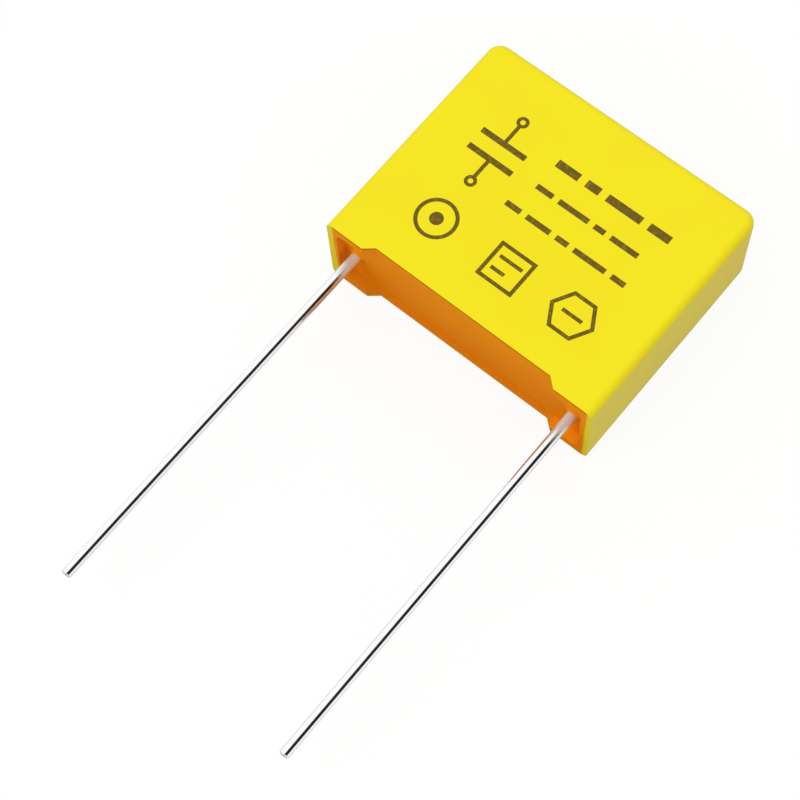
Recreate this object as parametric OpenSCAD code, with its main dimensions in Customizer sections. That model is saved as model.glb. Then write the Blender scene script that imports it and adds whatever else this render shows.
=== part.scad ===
// Box film capacitor with two parallel wire leads, lying on its back face.
// X runs along the lead row, -Y is the way the leads point, +Z is out of the front face.
// Origin: on the back face's plane, under the middle of the whole part. Millimetres.

/* [Case] */
// Distance from a lead's centre to the side of the case
lead_margin = 1.5; // [1.4:0.05:3]
// Height of the case, from the foot tips to the closed end
case_h = 14.8; // [12:0.1:24]
// Thickness of the case, from the back face to the front face
case_t = 6; // [5:0.1:9]
// Thickness of the four side walls at the open rim
wall_t = 0.65; // [0.5:0.05:0.8]
// Thickness of the wall at the closed end
end_wall_t = 0.8; // [0.5:0.05:1.5]
// Radius of the outer edges
edge_r = 0.5; // [0.2:0.05:1.2]
// How much larger the radius of the crown's two corners is
corner_extra = 0.35; // [0.1:0.05:1]
// Radius of the cavity's corners
cavity_r = 0.5; // [0.2:0.05:1]
// Mould draft of the cavity's walls, in degrees
cavity_draft = 0.5; // [0:0.1:1]

/* [Feet] */
// Height of the four feet that keep the resin off the board
foot_h = 0.5; // [0.3:0.05:0.8]
// Width of a foot at its tip, from the side of the case
foot_w = 2.5; // [1.5:0.05:4]
// Run of the slope beside a foot
foot_slope = 0.6; // [0.1:0.05:1.5]

/* [Leads] */
// Distance between the two leads' centres, which the case's width follows
lead_pitch = 15; // [10, 15, 22.5, 27.5]
// Diameter of the wire
lead_d = 0.6; // [0.5:0.05:0.8]
// Length of a lead, from the foot tips to its cut end
lead_len = 23; // [4:0.5:30]
// Bevel that the cutter leaves round the end of a lead
lead_bevel = 0.06; // [0.02:0.01:0.15]
// Thickness of the wire where it is pressed flat
tab_t = 0.36; // [0.25:0.01:0.45]
// Width of the wire where it is pressed flat
tab_w = 0.8; // [0.7:0.05:1.2]
// Radius of the flat stretch's corners
tab_r = 0.1; // [0.05:0.01:0.12]
// Length over which the round wire turns flat
tab_taper = 0.8; // [0.3:0.1:1]
// Length of the flat stretch that lies on the end contact
tab_reach = 7.5; // [4:0.5:8]

/* [Resin] */
// Depth of the resin's surface below the rims between the feet
resin_drop = 0.12; // [0.05:0.01:0.5]
// Depth of resin between its surface and the element
resin_cover = 1.6; // [1.2:0.1:3]
// Height of the resin that wets each lead
collar_h = 0.16; // [0.05:0.01:0.18]
// Width of that resin round the wire
collar_w = 0.25; // [0.1:0.05:0.4]
// How far below the surface the round wire goes on
round_depth = 0.02; // [0.01:0.01:0.1]

/* [Element] */
// Gap between the element and the front and back walls
element_side_gap = 0.4; // [0.3:0.05:1]
// Gap between the element and the closed end
element_end_gap = 0.55; // [0.3:0.05:2]
// Thickness of the plain film wrapped round the winding
wrap_t = 0.15; // [0.05:0.01:0.4]
// Thickness of the sprayed metal on each end of the winding
spray_t = 0.5; // [0.3:0.05:0.8]
// Depth that a lead is sunk in the sprayed metal
weld_sink = 0.12; // [0.05:0.01:0.2]
// Length of the flat middle of the winding's slit, left by the mandrel
slit_len = 4; // [1:0.5:5]
// Width of that slit
slit_t = 0.12; // [0.05:0.01:0.3]

/* [Hidden] */

$fn = 48;
taper_fn = 32;   // facets round the stretch where the wire turns flat
past = 1;        // how far cutting shapes reach past what they cut
sliver = 0.01;   // thickness of the slices that a blend is hulled from
left = -1;
right = 1;

// Places along Y
seat_y = (lead_len - case_h) / 2;         // foot tips, which stand on the board
crown_y = seat_y + case_h;                // closed end
resin_y = seat_y + foot_h + resin_drop;   // resin's surface
tip_y = seat_y - lead_len;                // cut ends of the leads
element_y0 = resin_y + resin_cover;
element_y1 = crown_y - end_wall_t - element_end_gap;
cavity_y1 = crown_y - end_wall_t;
taper_y = resin_y + round_depth;          // round wire ends here, under the resin
tab_y0 = taper_y + tab_taper;
tab_y1 = element_y0 + tab_reach;

// The case's width, and sizes of the element that the case and the leads leave
case_w = lead_pitch + 2 * lead_margin;
mid_z = case_t / 2;
element_h = element_y1 - element_y0;
element_t = case_t - 2 * (wall_t + element_side_gap);
element_mid_y = (element_y0 + element_y1) / 2;
spray_x1 = lead_pitch / 2 - tab_t / 2 + weld_sink;  // outer face of the sprayed metal
spray_x0 = spray_x1 - spray_t;                      // end of the winding

// A rectangle round its own centre with rounded corners
module round_rect(w, h, r) {
    square([w - 2 * r, h], center = true);
    square([w, h - 2 * r], center = true);
    for (sx = [-1, 1], sy = [-1, 1])
        translate([sx * (w / 2 - r), sy * (h / 2 - r)])
            circle(r);
}

// Extrudes an X-Z outline along +Y, from y0 to y1
module along_y(y0, y1) {
    translate([0, y1, 0])
        rotate([90, 0, 0])
            linear_extrude(y1 - y0)
                children();
}

// Extrudes a Y-Z outline along +X, from x0 to x1
module along_x(x0, x1) {
    translate([x0, 0, 0])
        rotate([90, 0, 90])
            linear_extrude(x1 - x0)
                children();
}

// The case's outer form: a rounded bar, closed by a crown between two turned corner posts
module case_solid() {
    post_r = edge_r + corner_extra;
    post_x = case_w / 2 - post_r;
    post_y = crown_y - post_r;
    along_y(seat_y, post_y)
        translate([0, mid_z])
            round_rect(case_w, case_t, edge_r);
    along_x(-post_x, post_x)
        translate([crown_y - 2 * post_r, mid_z])
            round_rect(2 * post_r + 2 * post_r, case_t, edge_r);
    for (x = [-post_x, post_x])
        translate([x, post_y, mid_z])
            rotate_extrude()
                intersection() {
                    round_rect(2 * post_r, case_t, edge_r);
                    translate([0, -case_t / 2])
                        square([post_r, case_t]);
                }
}

// The drafted cavity, open past the foot tips
module cavity() {
    depth = cavity_y1 - seat_y;
    shrink = depth * tan(cavity_draft);
    half_w = case_w / 2 - wall_t;
    half_t = case_t / 2 - wall_t;
    intersection() {
        along_y(seat_y - past, cavity_y1)
            translate([0, mid_z])
                round_rect(2 * half_w, 2 * half_t, cavity_r);
        translate([0, 0, -past])
            linear_extrude(case_t + 2 * past)
                polygon(draft_points(half_w, shrink));
        along_x(-case_w, case_w)
            translate([0, mid_z])
                polygon([for (p = draft_points(half_t, shrink)) [p[1], p[0]]]);
    }
}

// Half-width and height of a form that is full width up to the foot tips and narrows to the closed end
function draft_points(half, shrink) = [
    [-half, seat_y - 2 * past],
    [half, seat_y - 2 * past],
    [half, seat_y],
    [half - shrink, cavity_y1],
    [-half + shrink, cavity_y1],
    [-half, seat_y]
];

// What is cut from the front and back rims to leave the four feet
module foot_cut() {
    tip_x = case_w / 2 - foot_w;
    root_x = tip_x - foot_slope;
    overrun = foot_slope * past / foot_h;
    translate([0, 0, -past])
        linear_extrude(case_t + 2 * past)
            polygon([
                [-root_x, seat_y + foot_h],
                [root_x, seat_y + foot_h],
                [tip_x + overrun, seat_y - past],
                [-tip_x - overrun, seat_y - past]
            ]);
}

// The outline of the flattened roll in Y-Z, grown by a margin
module roll_outline(margin) {
    h = element_h - 2 * wrap_t + 2 * margin;
    t = element_t - 2 * wrap_t + 2 * margin;
    translate([element_mid_y, mid_z]) {
        square([h - t, t], center = true);
        for (s = [-1, 1])
            translate([s * (h - t) / 2, 0])
                circle(t / 2);
    }
}

// One straight lead: round wire outside, pressed flat where it is welded
module lead(side) {
    translate([side * lead_pitch / 2, 0, mid_z]) {
        translate([0, taper_y, 0])
            rotate([90, 0, 0])
                cylinder(d = lead_d, h = taper_y - tip_y - lead_bevel);
        translate([0, tip_y + lead_bevel, 0])
            rotate([90, 0, 0])
                cylinder(d1 = lead_d, d2 = lead_d - 2 * lead_bevel, h = lead_bevel);
        hull() {
            along_y(taper_y - sliver, taper_y)
                circle(d = lead_d, $fn = taper_fn);
            along_y(tab_y0, tab_y0 + sliver)
                tab_outline();
        }
        along_y(tab_y0, tab_y1)
            tab_outline();
    }
}

// Section of the wire where it is pressed flat
module tab_outline() {
    round_rect(tab_t, tab_w, tab_r);
}

// Resin that climbs a little way up the wire
module lead_collar(side) {
    translate([side * lead_pitch / 2, resin_y + collar_w, mid_z])
        rotate([90, 0, 0]) {
            cylinder(r = lead_d / 2 + collar_w, h = collar_w);
            translate([0, 0, collar_w])
                cylinder(r1 = lead_d / 2 + collar_w, r2 = lead_d / 2, h = collar_h);
        }
}

module case() {
    color([0.93, 0.86, 0.10])
        difference() {
            case_solid();
            cavity();
            foot_cut();
        }
}

module resin_seal() {
    color([0.85, 0.47, 0.02])
        difference() {
            union() {
                intersection() {
                    cavity();
                    along_y(resin_y, cavity_y1 + past)
                        translate([0, mid_z])
                            square([case_w, case_t], center = true);
                }
                lead_collar(left);
                lead_collar(right);
            }
            along_x(-spray_x1, spray_x1)
                roll_outline(wrap_t);
            lead(left);
            lead(right);
        }
}

module film_winding() {
    color([0.78, 0.80, 0.82])
        difference() {
            along_x(-spray_x0, spray_x0)
                roll_outline(0);
            along_x(-spray_x0 - past, spray_x0 + past)
                translate([element_mid_y, mid_z])
                    square([slit_len, slit_t], center = true);
        }
}

module outer_wrap() {
    color([0.90, 0.90, 0.84])
        difference() {
            along_x(-spray_x0, spray_x0)
                roll_outline(wrap_t);
            along_x(-spray_x0 - past, spray_x0 + past)
                roll_outline(0);
        }
}

// Sprayed metal over the end of the winding, with the lead sunk in it
module end_spray(side) {
    color([0.62, 0.63, 0.66])
        difference() {
            mirror([side < 0 ? 1 : 0, 0, 0])
                along_x(spray_x0, spray_x1)
                    roll_outline(wrap_t);
            lead(side);
        }
}

module end_spray_left() {
    end_spray(left);
}

module end_spray_right() {
    end_spray(right);
}

module lead_left() {
    color([0.80, 0.80, 0.82])
        lead(left);
}

module lead_right() {
    color([0.80, 0.80, 0.82])
        lead(right);
}

case();
resin_seal();
film_winding();
outer_wrap();
end_spray_left();
end_spray_right();
lead_left();
lead_right();
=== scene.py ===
"""Looks for a box film capacitor that lies on its back face, with both leads towards -Y."""
import math

import bmesh
import bpy
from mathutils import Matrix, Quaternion, Vector
from mathutils.geometry import tessellate_polygon


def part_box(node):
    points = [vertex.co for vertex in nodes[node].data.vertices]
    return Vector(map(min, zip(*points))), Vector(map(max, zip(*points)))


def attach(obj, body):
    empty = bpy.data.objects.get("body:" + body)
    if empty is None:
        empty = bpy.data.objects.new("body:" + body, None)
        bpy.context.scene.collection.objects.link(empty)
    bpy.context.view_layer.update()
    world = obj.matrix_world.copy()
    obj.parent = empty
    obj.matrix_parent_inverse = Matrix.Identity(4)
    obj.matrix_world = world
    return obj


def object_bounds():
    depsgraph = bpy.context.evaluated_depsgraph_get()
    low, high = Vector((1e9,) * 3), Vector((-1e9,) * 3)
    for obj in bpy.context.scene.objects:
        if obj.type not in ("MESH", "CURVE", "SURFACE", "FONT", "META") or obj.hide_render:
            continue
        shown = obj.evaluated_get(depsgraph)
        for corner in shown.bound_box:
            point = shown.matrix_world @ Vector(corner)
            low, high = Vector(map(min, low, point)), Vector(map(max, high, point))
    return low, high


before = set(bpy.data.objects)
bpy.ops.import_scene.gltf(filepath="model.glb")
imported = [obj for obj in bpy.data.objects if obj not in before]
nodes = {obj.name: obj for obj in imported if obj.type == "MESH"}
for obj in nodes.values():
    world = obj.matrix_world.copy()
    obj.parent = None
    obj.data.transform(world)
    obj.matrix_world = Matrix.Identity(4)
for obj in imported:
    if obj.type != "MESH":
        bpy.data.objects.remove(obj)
cad_low, cad_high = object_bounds()

MM = 0.001

# The camera: the point that it is aimed at, and where it looks from
CAMERA_AIM = Vector((-0.18, -0.47, 3.0)) * MM
CAMERA_AZIMUTH = 45.0
CAMERA_ELEVATION = 67.8
CAMERA_ROLL = -5.8
CAMERA_DISTANCE = 109.1 * MM
CAMERA_LENS = 91.9
SENSOR_WIDTH = 36.0
CAMERA_CLIP = (1 * MM, 20.0)

# Colours, linear
CASE_YELLOW = (0.865, 0.785, 0.004)
CASE_YELLOW_DEEP = (0.855, 0.76, 0.003)
AMBER_FRONT = (0.95, 0.345, 0.003)
# painted shade: the resin's amber, darker towards the back near the table
AMBER_SHADED_BACK = (0.86, 0.25, 0.001)
# painted shade on the ledge in the recess
AMBER_LEDGE_SHADE = (0.72, 0.25, 0.001)
# painted shadow: the red line where the front wall's rim shades the resin
RIM_SHADOW_RED = (0.55, 0.14, 0.001)
RIM_YELLOW = (0.80, 0.46, 0.02)
TIN = (0.97, 0.97, 0.98)
# dull tin, with a painted blue tint that cancels the resin's amber bounce light
TIN_DULL_COOLED = (0.77, 0.92, 1.0)
STEEL_CORE = (0.30, 0.29, 0.28)
COPPER_RING = (0.55, 0.22, 0.10)
INK = (0.14, 0.09, 0.004)
INK_THIN = (0.24, 0.17, 0.006)
ZINC = (0.45, 0.46, 0.48)
ZINC_DARK = (0.33, 0.34, 0.36)
FILM_METAL = (0.60, 0.62, 0.65)
FILM_METAL_DARK = (0.5, 0.52, 0.56)
PLAIN_FILM = (0.80, 0.80, 0.74)
PLAIN_FILM_DARK = (0.74, 0.74, 0.68)

# The light: a tent round the part and one soft lamp
SKY_ZENITH = (1.03, 1.04, 1.05)
SKY_HORIZON = (0.84, 0.66, 0.50)
TENT_WHITE = 1.0
TENT_GAP = 0.02
KEY_AZIMUTH = -35.0
KEY_ELEVATION = 45.0
KEY_DISTANCE = 0.5
KEY_SIZE = 0.3
KEY_POWER = 0.4

# The table: its colours, how strongly it glows, and that glow lowered beside a wire as painted
# shade
FLOOR_WHITE = (1.0, 1.0, 1.0)
FLOOR_BOUNCE = (0.38, 0.34, 0.29)
FLOOR_GLOW = 0.90
FLOOR_GLOW_SHADED = 0.60
FLOOR_HALF = 3.0
FLOOR_DROP = 0.02 * MM

# The painted shade on the case, in the resin's amber: it counts from just inside a wall's
# thickness, reaches this deep into the cavity, and leaves a margin of the end walls' rims yellow
WALL_SKIN = 0.6 * MM
AMBER_SHADE_DEPTH = 2 * MM
MARGIN_FROM, MARGIN_TO = 0.30 * MM, 0.46 * MM

# The print's sheet of ink reaches from just under the front face to just above it
INK_SUNK = 0.005 * MM
INK_RISE = 0.010 * MM

# Places that the frame gives
case_low, case_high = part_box("case")
lead_low, lead_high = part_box("lead_left")
lead_mid = (lead_low + lead_high) / 2
lead_off_x = abs(lead_mid.x)
case_mid_z = (case_low.z + case_high.z) / 2
seat_y = case_low.y


# ---------------------------------------------------------------- node graphs

class Graph:
    """A material or world node tree, with short ways to add and join nodes."""

    def __init__(self, tree):
        self.tree = tree
        tree.nodes.clear()

    def add(self, kind, **settings):
        node = self.tree.nodes.new(kind)
        for name, value in settings.items():
            setattr(node, name, value)
        return node

    def join(self, source, target):
        self.tree.links.new(source, target)

    def split(self, vector):
        """The x, y and z of a vector."""
        node = self.add("ShaderNodeSeparateXYZ")
        self.join(vector, node.inputs[0])
        return node.outputs["X"], node.outputs["Y"], node.outputs["Z"]

    def math(self, operation, a, b=None, clamp=False):
        node = self.add("ShaderNodeMath", operation=operation, use_clamp=clamp)
        for socket, value in zip(node.inputs, (a, b)):
            if value is None:
                continue
            if isinstance(value, (int, float)):
                socket.default_value = value
            else:
                self.join(value, socket)
        return node.outputs[0]

    def product(self, first, *others):
        """All of the values multiplied."""
        for value in others:
            first = self.math("MULTIPLY", first, value)
        return first

    def length(self, a, b):
        """The length of a vector with two parts."""
        return self.math("SQRT", self.math("ADD", self.product(a, a), self.product(b, b)))

    def ramp(self, value, low, high, to_low=0.0, to_high=1.0):
        """value from low..high to to_low..to_high, smooth at both ends."""
        node = self.add("ShaderNodeMapRange", interpolation_type="SMOOTHSTEP")
        self.join(value, node.inputs["Value"])
        node.inputs["From Min"].default_value = low
        node.inputs["From Max"].default_value = high
        node.inputs["To Min"].default_value = to_low
        node.inputs["To Max"].default_value = to_high
        return node.outputs["Result"]

    def blend(self, factor, a, b):
        """Colour a where factor is 0 and b where it is 1."""
        node = self.add("ShaderNodeMix", data_type="RGBA")
        self.join(factor, node.inputs[0])
        for socket, value in ((node.inputs[6], a), (node.inputs[7], b)):
            if isinstance(value, tuple):
                socket.default_value = (*value, 1.0)
            else:
                self.join(value, socket)
        return node.outputs[2]

    def noise(self, vector, feature, detail=2.0, roughness=0.5, stretch=None):
        """Noise whose features are about so many metres across."""
        if stretch is not None:
            mapping = self.add("ShaderNodeMapping")
            self.join(vector, mapping.inputs["Vector"])
            mapping.inputs["Scale"].default_value = stretch
            vector = mapping.outputs["Vector"]
        node = self.add("ShaderNodeTexNoise")
        self.join(vector, node.inputs["Vector"])
        node.inputs["Scale"].default_value = 1.0 / feature
        node.inputs["Detail"].default_value = detail
        node.inputs["Roughness"].default_value = roughness
        return node.outputs["Fac"]

    def bump(self, height, strength, distance, normal=None):
        node = self.add("ShaderNodeBump")
        node.inputs["Strength"].default_value = strength
        node.inputs["Distance"].default_value = distance
        self.join(height, node.inputs["Height"])
        if normal is not None:
            self.join(normal, node.inputs["Normal"])
        return node.outputs["Normal"]


def surface(name, metallic=0.0, specular=0.5, ior=1.5):
    """A new material: itself, its graph, its shader, and the object's coordinates and normal."""
    material = bpy.data.materials.new(name)
    material.use_nodes = True
    graph = Graph(material.node_tree)
    output = graph.add("ShaderNodeOutputMaterial")
    shader = graph.add("ShaderNodeBsdfPrincipled")
    shader.inputs["Metallic"].default_value = metallic
    shader.inputs["Specular IOR Level"].default_value = specular
    shader.inputs["IOR"].default_value = ior
    graph.join(shader.outputs["BSDF"], output.inputs["Surface"])
    coordinates = graph.add("ShaderNodeTexCoord")
    return material, graph, shader, coordinates.outputs["Object"], coordinates.outputs["Normal"]


# ------------------------------------------------------------------ materials

def amber_shaded_by_height(graph, height, cloud):
    """The resin's colour with painted shade: a little deeper towards the back, near the table,
    with faint clouds.
    """
    level = graph.ramp(height, case_low.z, case_high.z)
    level = graph.math("ADD", level, graph.ramp(cloud, 0.3, 0.7, -0.15, 0.15), clamp=True)
    return graph.blend(level, AMBER_SHADED_BACK, AMBER_FRONT)


def amber_shade_on_case(graph, x, y, z, facing_y, cloud):
    """Where the case is painted in the resin's amber as painted shade: the cavity's walls, and
    the rims short of the ends.
    """
    far_x = graph.math("ABSOLUTE", x)
    far_z = graph.math("ABSOLUTE", graph.math("SUBTRACT", z, case_mid_z))
    inside = graph.product(
        graph.math("LESS_THAN", far_x, case_high.x - WALL_SKIN),
        graph.math("LESS_THAN", far_z, case_high.z - case_mid_z - WALL_SKIN),
        graph.math("LESS_THAN", y, seat_y + AMBER_SHADE_DEPTH))
    strayed = graph.math("ADD", far_x, graph.ramp(cloud, 0.3, 0.7, -0.1 * MM, 0.1 * MM))
    reach = graph.ramp(strayed, case_high.x - MARGIN_TO, case_high.x - MARGIN_FROM, 1.0, 0.0)
    rim = graph.product(graph.math("LESS_THAN", facing_y, -0.5), reach)
    return graph.math("MAXIMUM", inside, rim)


def painted_shade_amber(graph, x, z, facing_z, cloud):
    """The painted shade's colour: a painted shadow line in red at the front brink, yellower at
    the back one, deeper painted shade on the ledge.
    """
    amber = amber_shaded_by_height(graph, z, cloud)
    # painted shadow: a thin red line at the front brink
    brink = graph.ramp(z, case_high.z - 0.18 * MM, case_high.z - 0.10 * MM)
    amber = graph.blend(brink, amber, RIM_SHADOW_RED)
    foot = graph.ramp(z, case_low.z + 0.20 * MM, case_low.z + 0.08 * MM)
    amber = graph.blend(foot, amber, RIM_YELLOW)
    # painted shade: the ledge's upward faces are darker left of x 5.5 mm, in the recess by the
    # left wire
    ledge_shade_tone = graph.blend(graph.ramp(x, 5.5 * MM, 7.0 * MM), AMBER_LEDGE_SHADE, AMBER_FRONT)
    return graph.blend(graph.math("GREATER_THAN", facing_z, 0.5), amber, ledge_shade_tone)


def case_plastic():
    """Lemon-yellow moulded polyester: satin, with a faint grain, and painted shade in the resin's
    amber on its rims and cavity walls, dull there.
    """
    material, graph, shader, place, normal = surface("case_plastic", specular=0.2)
    cloud = graph.noise(place, 6 * MM, detail=3.0)
    yellow = graph.blend(graph.ramp(cloud, 0.35, 0.65), CASE_YELLOW, CASE_YELLOW_DEEP)
    x, y, z = graph.split(place)
    _, facing_y, facing_z = graph.split(normal)
    # painted shade: the case's rims and cavity walls take the resin's amber
    amber_shade_mask = amber_shade_on_case(graph, x, y, z, facing_y, cloud)
    amber = painted_shade_amber(graph, x, z, facing_z, cloud)
    graph.join(graph.blend(amber_shade_mask, yellow, amber), shader.inputs["Base Color"])
    grain = graph.noise(place, 0.12 * MM, detail=3.0)
    satin = graph.ramp(grain, 0.2, 0.8, 0.34, 0.46)
    roughness = graph.math("MAXIMUM", satin, graph.product(amber_shade_mask, 0.95))
    graph.join(roughness, shader.inputs["Roughness"])
    peel = graph.noise(place, 1.4 * MM, detail=1.0)
    waved = graph.bump(peel, 0.10, 0.02 * MM)
    graph.join(graph.bump(grain, 0.12, 0.006 * MM, waved), shader.inputs["Normal"])
    return material


def potting_resin():
    """Amber casting resin with faint flow marks, and painted shade a little deeper towards the
    back.
    """
    material, graph, shader, place, _ = surface("potting_resin", specular=0.03)
    _, _, z = graph.split(place)
    flow = graph.noise(place, 2.5 * MM, detail=3.0, stretch=(0.5, 1.0, 1.0))
    graph.join(amber_shaded_by_height(graph, z, flow), shader.inputs["Base Color"])
    fine = graph.noise(place, 0.3 * MM, detail=2.0)
    graph.join(graph.ramp(fine, 0.2, 0.8, 0.30, 0.42), shader.inputs["Roughness"])
    waved = graph.bump(flow, 0.15, 0.03 * MM)
    graph.join(graph.bump(fine, 0.10, 0.01 * MM, waved), shader.inputs["Normal"])
    return material


def print_ink():
    """Dark olive ink, thinner in places."""
    material, graph, shader, place, _ = surface("print_ink", specular=0.2)
    patch = graph.noise(place, 0.25 * MM, detail=3.0)
    tone = graph.blend(graph.ramp(patch, 0.45, 0.75), INK, INK_THIN)
    graph.join(tone, shader.inputs["Base Color"])
    shader.inputs["Roughness"].default_value = 0.5
    return material


def tinned_wire():
    """Bright tinned wire: faint drawing lines, dulled next to the resin with a painted cool tint
    against its amber bounce light, bare at the cut ends.
    """
    material, graph, shader, place, normal = surface("tinned_wire")
    lines = graph.noise(place, 0.05 * MM, detail=2.0, stretch=(1.0, 0.01, 1.0))
    cloud = graph.noise(place, 1.5 * MM, detail=2.0)
    x, y, z = graph.split(place)
    # A cut end shows the steel core with a ring of copper round it
    _, facing_y, _ = graph.split(normal)
    cut = graph.math("LESS_THAN", facing_y, -0.9)
    off_x = graph.math("SUBTRACT", graph.math("ABSOLUTE", x), lead_off_x)
    off_z = graph.math("SUBTRACT", z, lead_mid.z)
    radius = graph.length(off_x, off_z)
    core = graph.blend(graph.ramp(radius, 0.19 * MM, 0.21 * MM), STEEL_CORE, COPPER_RING)
    # Resin and heat dulled the wire where it leaves the case; its blue tint there is painted, to
    # cancel the amber light that the resin bounces onto it
    strayed = graph.math("ADD", y, graph.ramp(cloud, 0.3, 0.7, -0.3 * MM, 0.3 * MM))
    dull = graph.ramp(strayed, seat_y - 2.2 * MM, seat_y + 0.5 * MM)
    skin = graph.blend(dull, TIN, TIN_DULL_COOLED)
    graph.join(graph.blend(cut, skin, core), shader.inputs["Base Color"])
    metallic = graph.math("SUBTRACT", 1.0, graph.product(dull, 0.65))
    graph.join(metallic, shader.inputs["Metallic"])
    polish = graph.math("ADD", graph.ramp(cloud, 0.3, 0.7, 0.05, 0.10), graph.product(dull, 0.3))
    roughness = graph.math("MAXIMUM", polish, graph.product(cut, 0.45))
    graph.join(roughness, shader.inputs["Roughness"])
    graph.join(graph.bump(lines, 0.06, 0.004 * MM), shader.inputs["Normal"])
    return material


def inner_material(name, colour, darker, feature, roughness, metallic=0.0, stretch=None):
    """A sealed inner piece: two close tones in a grain of its own."""
    material, graph, shader, place, _ = surface(name, metallic=metallic)
    grain = graph.noise(place, feature, detail=4.0, stretch=stretch)
    tone = graph.blend(graph.ramp(grain, 0.35, 0.65), colour, darker)
    graph.join(tone, shader.inputs["Base Color"])
    shader.inputs["Roughness"].default_value = roughness
    graph.join(graph.bump(grain, 0.3, feature / 10), shader.inputs["Normal"])
    return material


def dress(material, *names):
    """Gives CAD nodes their finish."""
    for name in names:
        mesh = nodes[name].data
        mesh.materials.clear()
        mesh.materials.append(material)


# ---------------------------------------------------------------------- stage

def place_round_part(thing, azimuth, elevation, distance, roll=0.0):
    """Aims a camera or a lamp at the part; azimuth 0 looks from -Y and 90 from +X."""
    a, e = math.radians(azimuth), math.radians(elevation)
    back = Vector((math.sin(a) * math.cos(e), -math.cos(a) * math.cos(e), math.sin(e)))
    level = (-back).to_track_quat("-Z", "Y")
    thing.location = CAMERA_AIM + back * distance
    thing.rotation_mode = "QUATERNION"
    thing.rotation_quaternion = level @ Quaternion((0, 0, 1), math.radians(roll))
    bpy.context.scene.collection.objects.link(thing)


def make_camera():
    """The camera at the reference view, rolled about its own axis."""
    data = bpy.data.cameras.new("camera")
    data.lens = CAMERA_LENS
    data.sensor_width = SENSOR_WIDTH
    data.clip_start, data.clip_end = CAMERA_CLIP
    camera = bpy.data.objects.new("camera", data)
    place_round_part(camera, CAMERA_AZIMUTH, CAMERA_ELEVATION, CAMERA_DISTANCE, CAMERA_ROLL)
    bpy.context.scene.camera = camera


def make_lamp():
    """A square soft lamp aimed at the part."""
    data = bpy.data.lights.new("key", "AREA")
    data.size = KEY_SIZE
    data.energy = KEY_POWER
    lamp = bpy.data.objects.new("key", data)
    place_round_part(lamp, KEY_AZIMUTH, KEY_ELEVATION, KEY_DISTANCE)


def seen_in_mirrors(graph, path):
    """1 for the light paths that gloss or glass sends on."""
    return graph.math("MAXIMUM", path.outputs["Is Glossy Ray"],
                      path.outputs["Is Transmission Ray"])


def floor_glow_in_mirrors(graph, x, y):
    """How white the table is in reflections, with painted shade beside the wires and a painted
    shadow in front of the open side.
    """
    # Beside a wire the table is painted a little darker in reflections, a painted shade which
    # draws the wire's edges
    aside = graph.math("SUBTRACT", graph.math("ABSOLUTE", x), lead_off_x)
    glow = graph.ramp(graph.math("ABSOLUTE", aside), 5.5 * MM, 6.7 * MM,
                      FLOOR_GLOW_SHADED, FLOOR_GLOW)
    # Right in front of the open side it is black in reflections, a painted shadow of the part, so
    # the resin keeps its full colour
    dark = graph.product(
        graph.ramp(y, seat_y - 3.0 * MM, seat_y - 2.2 * MM),
        graph.math("LESS_THAN", y, seat_y + 0.8 * MM),
        graph.ramp(x, 1.3 * case_low.x, 1.2 * case_low.x),
        graph.math("LESS_THAN", x, case_high.x))
    return graph.product(glow, graph.math("SUBTRACT", 1.0, dark))


def make_floor():
    """A wide table, white to the camera and in reflections, which keeps the part's shadow."""
    half = FLOOR_HALF
    mesh = bpy.data.meshes.new("floor")
    corners = [(-half, -half, 0), (half, -half, 0), (half, half, 0), (-half, half, 0)]
    mesh.from_pydata(corners, [], [(0, 1, 2, 3)])
    floor = bpy.data.objects.new("floor", mesh)
    floor.location.z = cad_low.z - FLOOR_DROP
    bpy.context.scene.collection.objects.link(floor)
    material = bpy.data.materials.new("floor_white")
    material.use_nodes = True
    graph = Graph(material.node_tree)
    output = graph.add("ShaderNodeOutputMaterial")
    path = graph.add("ShaderNodeLightPath")
    to_camera = path.outputs["Is Camera Ray"]
    matt = graph.add("ShaderNodeBsdfDiffuse")
    graph.join(graph.blend(to_camera, FLOOR_BOUNCE, FLOOR_WHITE), matt.inputs["Color"])
    glow = graph.add("ShaderNodeEmission")
    mix = graph.add("ShaderNodeMixShader")
    coordinates = graph.add("ShaderNodeTexCoord")
    x, y, _ = graph.split(coordinates.outputs["Object"])
    mirrored = graph.product(seen_in_mirrors(graph, path), floor_glow_in_mirrors(graph, x, y))
    glowing = graph.math("MAXIMUM", graph.product(to_camera, FLOOR_GLOW), mirrored)
    graph.join(glowing, mix.inputs["Fac"])
    graph.join(matt.outputs[0], mix.inputs[1])
    graph.join(glow.outputs[0], mix.inputs[2])
    graph.join(mix.outputs[0], output.inputs["Surface"])
    mesh.materials.append(material)


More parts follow.
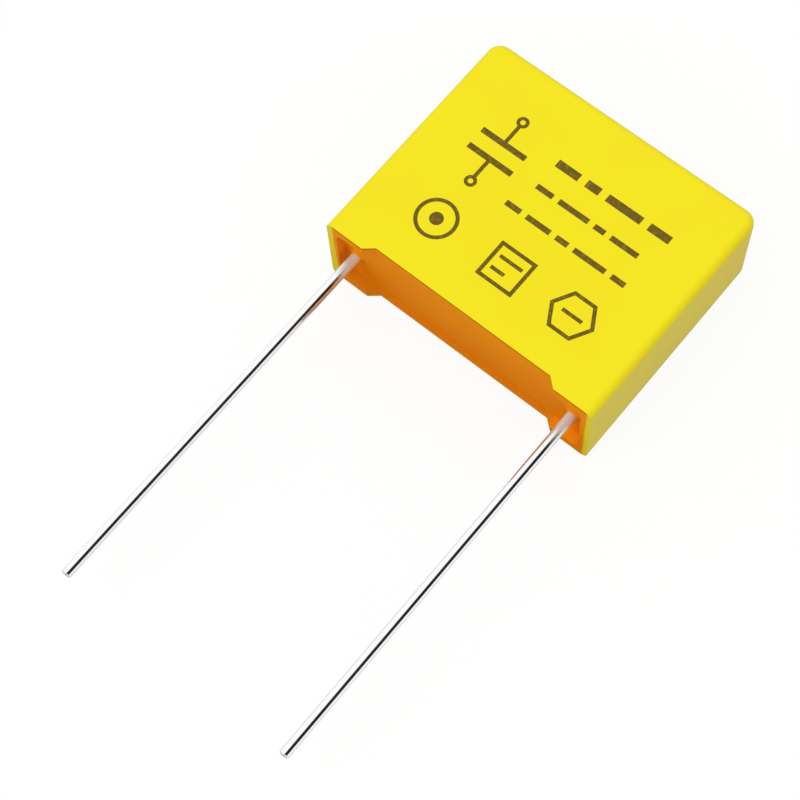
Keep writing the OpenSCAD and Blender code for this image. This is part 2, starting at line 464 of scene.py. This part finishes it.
def make_world():
    """A light tent: soft light, stronger from above and a little warm from the sides.

    In reflections the tent is white, with one dark gap overhead that runs along the wires.
    """
    world = bpy.data.worlds.new("tent")
    bpy.context.scene.world = world
    world.use_nodes = True
    graph = Graph(world.node_tree)
    output = graph.add("ShaderNodeOutputWorld")
    background = graph.add("ShaderNodeBackground")
    graph.join(background.outputs[0], output.inputs["Surface"])
    coordinates = graph.add("ShaderNodeTexCoord")
    x, _, z = graph.split(coordinates.outputs["Generated"])
    light = graph.blend(graph.ramp(z, 0.0, 1.0), SKY_HORIZON, SKY_ZENITH)
    # The gap holds the directions that lean to +X, from a little to almost level
    lean = graph.math("DIVIDE", x, graph.math("MAXIMUM", graph.length(x, z), 0.001))
    gap = graph.product(graph.ramp(lean, 0.12, 0.28), graph.ramp(lean, 0.93, 0.99, 1.0, 0.0))
    shade = graph.ramp(gap, 0.0, 1.0, TENT_WHITE, TENT_GAP)
    tent = graph.add("ShaderNodeCombineColor")
    for socket in tent.inputs:
        graph.join(shade, socket)
    path = graph.add("ShaderNodeLightPath")
    colour = graph.blend(seen_in_mirrors(graph, path), light, tent.outputs[0])
    colour = graph.blend(path.outputs["Is Camera Ray"], colour, FLOOR_WHITE)
    graph.join(colour, background.inputs["Color"])


# ---------------------------------------------------------------------- print

def circle(x, y, radius, points=48, first=0.0, last=360.0):
    """Points on a circle or an arc, in degrees; a full circle doesn't repeat its first point."""
    steps = points if last - first >= 360.0 else points - 1
    angles = [math.radians(first + (last - first) * k / steps) for k in range(points)]
    return [(x + radius * math.cos(angle), y + radius * math.sin(angle)) for angle in angles]


def rectangle(x0, y0, x1, y1):
    return [(x0, y0), (x1, y0), (x1, y1), (x0, y1)]


class Print:
    """Flat ink shapes on the front face, in millimetres from the middle of its lower edge."""

    def __init__(self):
        self.work = bmesh.new()

    def sheet(self, outline, holes=()):
        """One filled shape as a thin closed solid."""
        loops = [outline, *holes]
        heights = (case_high.z - INK_SUNK, case_high.z + INK_RISE)
        levels = [[[self.work.verts.new((x * MM, seat_y + y * MM, z)) for x, y in loop]
                   for loop in loops] for z in heights]
        triangles = tessellate_polygon([[Vector((x, y, 0)) for x, y in loop] for loop in loops])
        for level in levels:
            corners = [corner for loop in level for corner in loop]
            for triangle in triangles:
                self.work.faces.new([corners[k] for k in triangle])
        for lower, upper in zip(*levels):
            for i in range(len(lower)):
                j = (i + 1) % len(lower)
                self.work.faces.new((lower[i], lower[j], upper[j], upper[i]))

    def dashes(self, x, y, height, lengths, gap=0.4):
        """A row of dashes that stands for a line of text."""
        for length in lengths:
            self.sheet(rectangle(x, y - height / 2, x + length, y + height / 2))
            x += length + gap

    def finish(self):
        bmesh.ops.recalc_face_normals(self.work, faces=self.work.faces)
        mesh = bpy.data.meshes.new("front_print")
        self.work.to_mesh(mesh)
        self.work.free()
        mesh.materials.append(print_ink())
        piece = bpy.data.objects.new("front_print", mesh)
        bpy.context.scene.collection.objects.link(piece)
        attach(piece, "root")


def print_circuit_sign(ink, sign_x, sign_y):
    """A capacitor's sign: its upper half, which is a plate, a wire and a terminal ring in one
    shape, and that half's mirror image."""
    plate_w, plate_h, plate_gap = 3.0, 0.36, 0.84
    wire_w, wire_h = 0.22, 1.15
    ring_r, ring_stroke = 0.36, 0.2
    plate_y = plate_gap / 2
    plate_top = plate_y + plate_h
    ring_y = plate_top + wire_h + ring_r
    opening = math.degrees(math.asin(wire_w / 2 / ring_r))
    ring = circle(0, ring_y, ring_r, 40, opening - 90, 270 - opening)
    half = [(-plate_w / 2, plate_y), (plate_w / 2, plate_y), (plate_w / 2, plate_top),
            (wire_w / 2, plate_top), *ring, (-wire_w / 2, plate_top), (-plate_w / 2, plate_top)]
    hole = circle(0, ring_y, ring_r - ring_stroke, 32)
    for side in (1, -1):
        ink.sheet([(sign_x + x, sign_y + side * y) for x, y in half],
                  [[(sign_x + x, sign_y + side * y) for x, y in hole]])


def print_plain_shapes(ink, mid_y, stroke):
    """A row of a ring with a dot, a square with two dashes and a hexagon with one."""
    ring_x, ring_r, dot_r = -4.5, 1.25, 0.4
    ink.sheet(circle(ring_x, mid_y, ring_r), [circle(ring_x, mid_y, ring_r - stroke)])
    ink.sheet(circle(ring_x, mid_y, dot_r, 32))
    left, right, half_h = -0.9, 1.5, 1.2
    ink.sheet(rectangle(left, mid_y - half_h, right, mid_y + half_h),
              [rectangle(left + stroke, mid_y - half_h + stroke,
                         right - stroke, mid_y + half_h - stroke)])
    ink.dashes(-0.45, mid_y + 0.4, stroke, (1.5,))
    ink.dashes(-0.45, mid_y - 0.4, stroke, (0.9,))
    hexagon_x, hexagon_r = 4.7, 1.45
    inner_r = hexagon_r - stroke / math.cos(math.pi / 6)
    ink.sheet(circle(hexagon_x, mid_y, hexagon_r, 6), [circle(hexagon_x, mid_y, inner_r, 6)])
    ink.dashes(4.05, mid_y, stroke, (1.3,))


def make_print():
    """Generic print: the circuit sign of a capacitor, rows of dashes and three plain shapes."""
    ink = Print()
    print_circuit_sign(ink, -4.5, 9.1)
    ink.dashes(-1.5, 10.6, 0.50, (1.5, 0.9, 2.3, 1.4), gap=0.5)
    ink.dashes(-1.5, 8.8, 0.34, (1.1, 2.0, 0.7, 1.8))
    ink.dashes(-2.2, 7.0, 0.34, (1.0, 1.6, 0.8, 2.1, 0.9))
    print_plain_shapes(ink, 3.9, 0.22)
    ink.finish()


# --------------------------------------------------------------------- making

make_camera()
bpy.context.scene.view_settings.view_transform = "Standard"
make_floor()
make_world()
make_lamp()

dress(case_plastic(), "case")
dress(potting_resin(), "resin_seal")
dress(tinned_wire(), "lead_left", "lead_right")
dress(inner_material("sprayed_zinc", ZINC, ZINC_DARK, 0.1 * MM, 0.6, metallic=0.8),
      "end_spray_left", "end_spray_right")
dress(inner_material("metallized_film", FILM_METAL, FILM_METAL_DARK, 0.08 * MM, 0.3,
                     stretch=(0.05, 1.0, 1.0)), "film_winding")
dress(inner_material("plain_film", PLAIN_FILM, PLAIN_FILM_DARK, 0.5 * MM, 0.25), "outer_wrap")

make_print()
